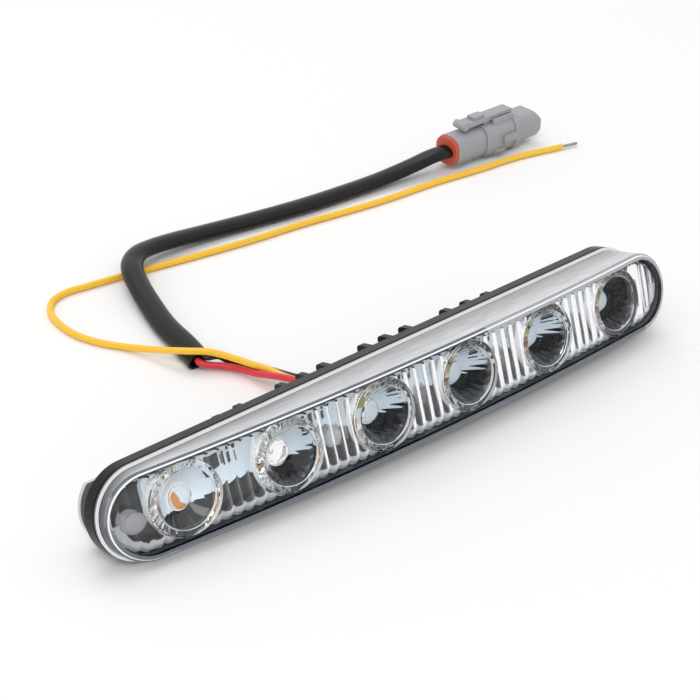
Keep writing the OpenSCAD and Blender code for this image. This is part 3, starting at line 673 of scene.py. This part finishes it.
def flute(x):
    """Across each flute u runs from -1 to 1; its front falls back by u squared."""
    return (2 * np.mod((np.asarray(x) + FLUTE_COUNT * FLUTE_PITCH / 2) / FLUTE_PITCH, 1.0) - 1) ** 2


def shell(front, back, faces):
    """A closed body from two sheets with the same faces: the back is turned over and open edges are walled."""
    faces = np.asarray(faces)
    n = len(front)
    edges = np.stack([faces, np.roll(faces, -1, axis=1)], axis=-1).reshape(-1, 2)
    key = np.sort(edges, axis=1)
    _, first, count = np.unique(key, axis=0, return_index=True, return_counts=True)
    rim = edges[first[count == 1]]
    walls = np.stack([rim[:, 1], rim[:, 0], rim[:, 0] + n, rim[:, 1] + n], axis=1)
    return np.vstack([front, back]), np.vstack([faces, faces[:, ::-1] + n, walls]), len(walls)


class LAMP_OT_flutes(bpy.types.Operator):
    """Adds the fluted plate: flutes y = bow + rise * u^2 with domed, scalloped ends, and round holes"""
    bl_idname = "lamp.flutes"
    bl_label = "Fluted plate"

    def execute(self, context):
        x = np.sort(np.concatenate([-RUN - PLATE_EDGE * np.cos(np.linspace(0.04, 1.45, 40)),
                                    np.linspace(-RUN + 0.3, RUN - 0.3, 440),
                                    RUN + PLATE_EDGE * np.sin(np.linspace(0.12, 1.53, 40))]))
        over = np.clip(np.abs(x) - RUN, 0, PLATE_EDGE - 0.01)
        limit = np.sqrt(PLATE_EDGE ** 2 - over ** 2) - SCALLOP * flute(x) * np.sqrt(1 - (over / PLATE_EDGE) ** 2)
        t = np.sin(np.linspace(-1, 1, 61) * math.pi / 2)
        X = np.repeat(x, len(t))
        Z = (limit[:, None] * t[None, :]).ravel()
        top = np.repeat(limit, len(t))
        faces = grid_faces(len(x), len(t))
        for cx in OPTIC_X:
            faces = self.holed(X, Z, faces, cx)
        # The long edges roll back over their last 1.5 mm
        roll = np.clip((np.abs(Z) - (top - 1.5)) / 1.5, 0, 1) ** 2
        bow = front_y(X, PLATE_INSET)
        front = np.stack([X, bow + FLUTE_RISE * flute(X) + roll, Z], 1)
        back = np.stack([X, bow + PLATE_THICK, Z], 1)
        points, faces, walls = shell(front, back, faces)
        obj = sharp(piece("fluted_plate", to_row(points), faces), 28)
        # The numbers below are the materials' places in this list. The white edges are painted highlights; the
        # greyer, less clear lower band and the dark lower walls are painted shade.
        flutes, painted_highlight, shaded_hem, edge = range(4)
        finish_piece(obj, "clear_optics",
                     clear_plastic("flute_plastic", (0.985, 0.99, 0.995), 0.01, 1.42, 0.015),
                     plastic("edge_painted_highlight", (0.93, 0.94, 0.95), 0.2, grain=600, mottle=0.06, bump=0.03),
                     clear_plastic("lower_band_painted_shade", (0.66, 0.67, 0.69), 0.06, 1.49, 0.015, clear=0.35),
                     plastic("lower_wall_painted_shade", (0.085, 0.095, 0.115), 0.2, grain=500, bump=0.02))
        x, z = points[faces].mean(1)[:, [0, 2]].T
        inside = outline_inset(x, z, PLATE_EDGE) - SCALLOP * flute(x)
        sheet = np.arange(len(faces)) < (len(faces) - walls) // 2
        index = np.full(len(faces), flutes, np.int32)
        # Painted shade: a greyer, less clear band along the lower edge
        index[sheet & (z < 0) & (inside < 2.3)] = shaded_hem
        # Painted highlight: white lines along the lower and upper edges
        index[sheet & (z < 0) & (inside < 0.4)] = painted_highlight
        index[sheet & (z > 0) & (inside < 0.28)] = painted_highlight
        # Painted shade on the lower walls, painted highlight on the rest of the walls
        index[-walls:] = np.where((z < 0) & (inside < 0.5), edge, painted_highlight)[-walls:]
        give_finishes(obj, index)
        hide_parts("optic_strip")
        return {"FINISHED"}

    def holed(self, X, Z, faces, cx):
        """Leaves out the faces in a collimator's hole, and draws the points round it onto a circle."""
        faces = faces[np.hypot(X[faces].mean(1) - cx, Z[faces].mean(1)) > OPTIC_R + 0.1]
        near = np.zeros(len(X), bool)
        near[faces.ravel()] = True
        r = np.hypot(X - cx, Z)
        pull = near & (r < OPTIC_R + 0.32)
        k = (OPTIC_R + 0.15) / r[pull]
        X[pull], Z[pull] = cx + (X[pull] - cx) * k, Z[pull] * k
        return faces


class LAMP_OT_collimators(bpy.types.Operator):
    """Adds the six collimators: each a turned profile (radius, depth) with faceted cone and bowl"""
    bl_idname = "lamp.collimators"
    bl_label = "Collimators"

    def execute(self, context):
        cols = 180
        a = np.arange(cols) * 2 * math.pi / cols
        parts = []
        for cx in OPTIC_X:
            mouth = float(front_y(cx, MOUTH_INSET))
            profile = self.profile(mouth)
            r, y, faceted, bowed = (np.array(v, float)[:, None] for v in zip(*profile))
            r = r * (1 - FACET_DEPTH * np.abs(np.cos(FACETS * a))[None, :] * faceted)
            X, Z = cx + r * np.cos(a)[None, :], r * np.sin(a)[None, :]
            Y = y + bowed * (front_y(X, MOUTH_INSET) - mouth)
            parts.append((np.stack([X, Y, Z], axis=-1), grid_faces(len(profile), cols, wrap_cols=True)))
        points, faces = joined(parts)
        obj = sharp(piece("collimators", to_row(points), faces, merge=3e-5), 30)
        finish_piece(obj, "clear_optics",
                     clear_plastic("optic_plastic", (0.985, 0.99, 0.995), 0.01, 1.5),
                     plastic("line_painted_highlight", (0.95, 0.955, 0.965), 0.15, grain=600, mottle=0.04, bump=0.02))
        self.paint_edge_highlights(obj)
        return {"FINISHED"}

    def profile(self, mouth):
        """Rows (radius, y, faceted, bowed): the lens, the bowl, the front ring, the cone and its foot."""
        deep = -mouth * BOWL_SHARE
        lens, bowl = mouth + deep, BOWL_OUT - BOWL_IN
        rim, cone = mouth + CONE_RISE, CONE_OUT - CONE_IN
        rows = [(0.02, lens - LENS_RISE, 0, 0)]
        rows += [(LENS_R * math.sin(q), lens - LENS_RISE * math.cos(q), 0, 0) for q in np.linspace(0.25, 1.5, 7)]
        rows += [(LENS_R + 0.12, lens, 0, 0), (BOWL_IN, lens, 0, 0)]
        rows += [(BOWL_IN + bowl * q, mouth + deep * (1 - q) ** BOWL_POWER, 0, 0)
                 for q in np.linspace(0.03, 0.98, 26)]
        rows += [(r, mouth + y, 0, 1) for r, y in (
            (BOWL_OUT, 0.14), (7.05, 0.03), (7.2, 0.0), (7.6, 0.0), (8.0, 0.0), (8.35, 0.02), (8.55, 0.1),
            (OPTIC_R, 0.28), (OPTIC_R, 2.0))]
        rows += [(CONE_OUT, rim, 0, 0)]
        rows += [(CONE_OUT - cone * q, rim * (1 - q) ** 1.1 - 0.02, 1, 0) for q in np.linspace(0.05, 1, 16)]
        return rows + [(2.6, -0.02, 0, 0), (2.0, -0.9, 0, 0), (1.0, -1.2, 0, 0), (0.02, -1.3, 0, 0)]

    def paint_edge_highlights(self, obj):
        """Paints highlights: gives the lens's foot and the front ring's two edges a white painted highlight."""
        x, y, z = face_centres(obj).T
        middle = OPTIC_X[np.argmin(np.abs(x[:, None] - OPTIC_X[None, :]), axis=1)]
        r = np.hypot(x - middle, z)
        mouth = front_y(middle, MOUTH_INSET)
        cone = (mouth + CONE_RISE) * np.clip((r - CONE_IN) / (CONE_OUT - CONE_IN), 0, 1)
        share = np.clip((BOWL_OUT - r) / (BOWL_OUT - BOWL_IN), 0, 1) ** BOWL_POWER
        bowl = mouth * (1 - BOWL_SHARE * share)
        inside = (np.abs(y - bowl) < np.abs(y - cone)) & (y < mouth + 8.2)
        ring = inside & (r > BOWL_OUT)
        edges = (inside & (r < BOWL_IN) & (r > LENS_R)) | (ring & ((r < 7.1) | (r > 8.45)))
        give_finishes(obj, edges.astype(np.int32))


class LAMP_OT_pegs(bpy.types.Operator):
    """Adds the strip's clear pegs: oval columns with domed fronts"""
    bl_idname = "lamp.pegs"
    bl_label = "Pegs"

    def execute(self, context):
        cols = 48
        a = np.arange(cols) * 2 * math.pi / cols
        parts = []
        for cx, cz, front, back in PEGS:
            rows = np.array([(0.01, -0.42), (0.35, -0.38), (0.62, -0.28), (0.8, -0.12), (0.86, 0.0), (0.9, 0.25),
                             (1.0, 0.3), (1.0, back), (0.9, back + 0.05), (0.01, back + 0.05)])
            r, y = rows[:, :1], rows[:, 1:]
            X, Y, Z = np.broadcast_arrays(cx + PEG_WIDE * r * np.cos(a), front + y, cz + PEG_HIGH * r * np.sin(a))
            parts.append((np.stack([X, Y, Z], axis=-1), grid_faces(len(rows), cols, wrap_cols=True)))
        points, faces = joined(parts)
        obj = sharp(piece("strip_pegs", to_row(points), faces, merge=2e-5), 40)
        # Painted shade: the clear pegs are tinted grey and half milky
        finish_piece(obj, "clear_optics", clear_plastic("peg_plastic_painted_shade", (0.5, 0.51, 0.53), 0.05, 1.45, clear=0.45))
        return {"FINISHED"}


class LAMP_OT_board(bpy.types.Operator):
    """Finishes the board, whose mask glows faintly in its own colour as painted light, the emitters and the small
    parts on it
    """
    bl_idname = "lamp.board"
    bl_label = "Board"

    def execute(self, context):
        look = context.scene.lamp_look
        # Painted light: the mask emits its own colour at strength 0.35 though it is no lamp
        dress("circuit_board", plastic("board_mask_painted_glow", look.board_colour, 0.4, grain=1500, bump=0.05, mottle=0.1,
                                       Emission_Color=(*look.board_colour, 1), Emission_Strength=0.35))
        dress("white_leds", plastic("white_emitter", (0.9, 0.8, 0.2), 0.35, grain=900, bump=0.05))
        dress("amber_leds", plastic("amber_emitter", (0.9, 0.32, 0.02), 0.35, grain=900, bump=0.05))
        chip = plastic("chip_plastic", (0.015, 0.015, 0.017), 0.45, grain=1500, bump=0.1)
        for n in ("resistors", "driver_chips", "diodes"):
            dress(n, chip)
        return {"FINISHED"}


class LAMP_OT_housing(bpy.types.Operator):
    """Finishes the housing, its seal and the wire grommet"""
    bl_idname = "lamp.housing"
    bl_label = "Housing"

    def execute(self, context):
        look = context.scene.lamp_look
        dress("housing", plastic("housing_plastic", look.housing_colour, 0.24, grain=450, bump=0.06, mottle=0.12,
                                 mottle_scale=25, Specular_IOR_Level=0.12))
        dress("housing_seal", plastic("dark_seal", (0.002, 0.002, 0.002), 0.7, grain=800, bump=0.1,
                                      Specular_IOR_Level=0.1))
        dress("wire_grommet", plastic("seal_rubber", (0.008, 0.008, 0.009), 0.6, grain=800, bump=0.1))
        return {"FINISHED"}


class LAMP_OT_fasteners(bpy.types.Operator):
    """Finishes the brackets, screws and washers"""
    bl_idname = "lamp.fasteners"
    bl_label = "Brackets and screws"

    def execute(self, context):
        steel = plastic("plated_steel", (0.6, 0.61, 0.62), 0.32, grain=1200, bump=0.08, mottle=0.12, Metallic=1.0)
        sheet_steel = plastic("bracket_steel", (0.6, 0.61, 0.62), 0.5, grain=380, bump=0.12, mottle=0.18,
                              Metallic=0.8)
        for n in ("board_screws", "bracket_screws", "bracket_washers"):
            dress(n, steel)
        for n in ("left_bracket", "right_bracket"):
            dress(n, sheet_steel)
        return {"FINISHED"}


class LAMP_OT_plug(bpy.types.Operator):
    """Finishes the plug's body, seals, insert and terminals"""
    bl_idname = "lamp.plug"
    bl_label = "Plug"

    def execute(self, context):
        look = context.scene.lamp_look
        dress("plug_body", plastic("plug_plastic", look.plug_colour, 0.45, grain=500, bump=0.12, mottle=0.12))
        orange = plastic("orange_seal", (0.62, 0.09, 0.04), 0.5, grain=700, bump=0.1)
        dress("plug_rear_seal", orange)
        dress("plug_front_seal", orange)
        dress("plug_insert", plastic("pale_insert", (0.68, 0.68, 0.64), 0.45, grain=700, bump=0.08))
        dress("plug_terminals", plastic("terminal_brass", (0.72, 0.5, 0.2), 0.3, grain=900, bump=0.05,
                                        Metallic=1.0))
        return {"FINISHED"}


# Half the floor's side, its height just under the object, and the power of each lamp
FLOOR_REACH, FLOOR_Z, LAMP_WATTS = 3, -0.0001, 3.2


class LAMP_OT_stage(bpy.types.Operator):
    """Adds the pale floor, the studio light and the white surround"""
    bl_idname = "lamp.stage"
    bl_label = "Stage"

    def execute(self, context):
        corners = [(x * FLOOR_REACH, y * FLOOR_REACH, FLOOR_Z) for x, y in ((-1, -1), (1, -1), (1, 1), (-1, 1))]
        floor = piece("floor", corners, [(0, 1, 2, 3)], smooth=False)
        m, _, b = new_material("floor_paper")
        b.inputs["Base Color"].default_value = (0.97, 0.97, 0.97, 1)
        b.inputs["Roughness"].default_value = 0.9
        b.inputs["Specular IOR Level"].default_value = 0.1
        floor.data.materials.append(m)
        self.surround(context)
        for name, place, size in (("key_softbox", (-0.5, -0.45, 1.0), 0.5),
                                  ("top_softbox", (0.15, 0.55, 1.1), 0.7)):
            light = bpy.data.lights.new(name, "AREA")
            light.size = size
            light.energy = LAMP_WATTS
            lamp = bpy.data.objects.new(name, light)
            lamp.location = place
            lamp.rotation_euler = (Vector((0, 0.03, 0)) - Vector(place)).to_track_quat("-Z", "Y").to_euler()
            context.scene.collection.objects.link(lamp)
        context.scene.view_settings.view_transform = "Standard"
        return {"FINISHED"}

    def surround(self, context):
        """White for what is seen, mirrored or looked at through the clear pieces, and a softer level as light."""
        world = bpy.data.worlds.new("Studio")
        context.scene.world = world
        world.use_nodes = True
        nt = world.node_tree
        nt.nodes.clear()
        out = nt.nodes.new("ShaderNodeOutputWorld")
        seen = nt.nodes.new("ShaderNodeBackground")
        seen.inputs["Color"].default_value = (1, 1, 1, 1)
        seen.inputs["Strength"].default_value = 1.0
        light = nt.nodes.new("ShaderNodeBackground")
        light.inputs["Color"].default_value = (1, 1, 1, 1)
        light.inputs["Strength"].default_value = 0.7
        path = nt.nodes.new("ShaderNodeLightPath")
        first = put(nt, "ShaderNodeMath", operation="MAXIMUM")
        both = put(nt, "ShaderNodeMath", operation="MAXIMUM")
        nt.links.new(path.outputs["Is Camera Ray"], first.inputs[0])
        nt.links.new(path.outputs["Is Glossy Ray"], first.inputs[1])
        nt.links.new(first.outputs[0], both.inputs[0])
        nt.links.new(path.outputs["Is Transmission Ray"], both.inputs[1])
        mix = nt.nodes.new("ShaderNodeMixShader")
        nt.links.new(both.outputs[0], mix.inputs["Fac"])
        nt.links.new(light.outputs[0], mix.inputs[1])
        nt.links.new(seen.outputs[0], mix.inputs[2])
        nt.links.new(mix.outputs[0], out.inputs["Surface"])


class LAMP_PT_panel(bpy.types.Panel):
    bl_label = "Daytime Running Light"
    bl_idname = "LAMP_PT_panel"
    bl_space_type = "VIEW_3D"
    bl_region_type = "UI"
    bl_category = "Lamp"

    def draw(self, context):
        layout = self.layout
        for group in (context.scene.lamp_look, context.scene.lamp_sizes):
            box = layout.box()
            for name in group.__annotations__:
                box.prop(group, name)
        for op in OPERATORS:
            layout.operator(op.bl_idname)


OPERATORS = (LAMP_OT_camera, LAMP_OT_lead, LAMP_OT_cover, LAMP_OT_flutes, LAMP_OT_collimators, LAMP_OT_pegs,
             LAMP_OT_board, LAMP_OT_housing, LAMP_OT_fasteners, LAMP_OT_plug, LAMP_OT_stage)
CLASSES = (LampLook, LampSizes, *OPERATORS, LAMP_PT_panel)


def register():
    for c in CLASSES:
        bpy.utils.register_class(c)
    bpy.types.Scene.lamp_look = bpy.props.PointerProperty(type=LampLook)
    bpy.types.Scene.lamp_sizes = bpy.props.PointerProperty(type=LampSizes)


def unregister():
    del bpy.types.Scene.lamp_sizes
    del bpy.types.Scene.lamp_look
    for c in reversed(CLASSES):
        bpy.utils.unregister_class(c)


def main():
    register()
    for op in OPERATORS:
        family, name = op.bl_idname.split(".")
        getattr(getattr(bpy.ops, family), name)()
    bpy.context.view_layer.update()


if __name__ == "__main__":
    main()
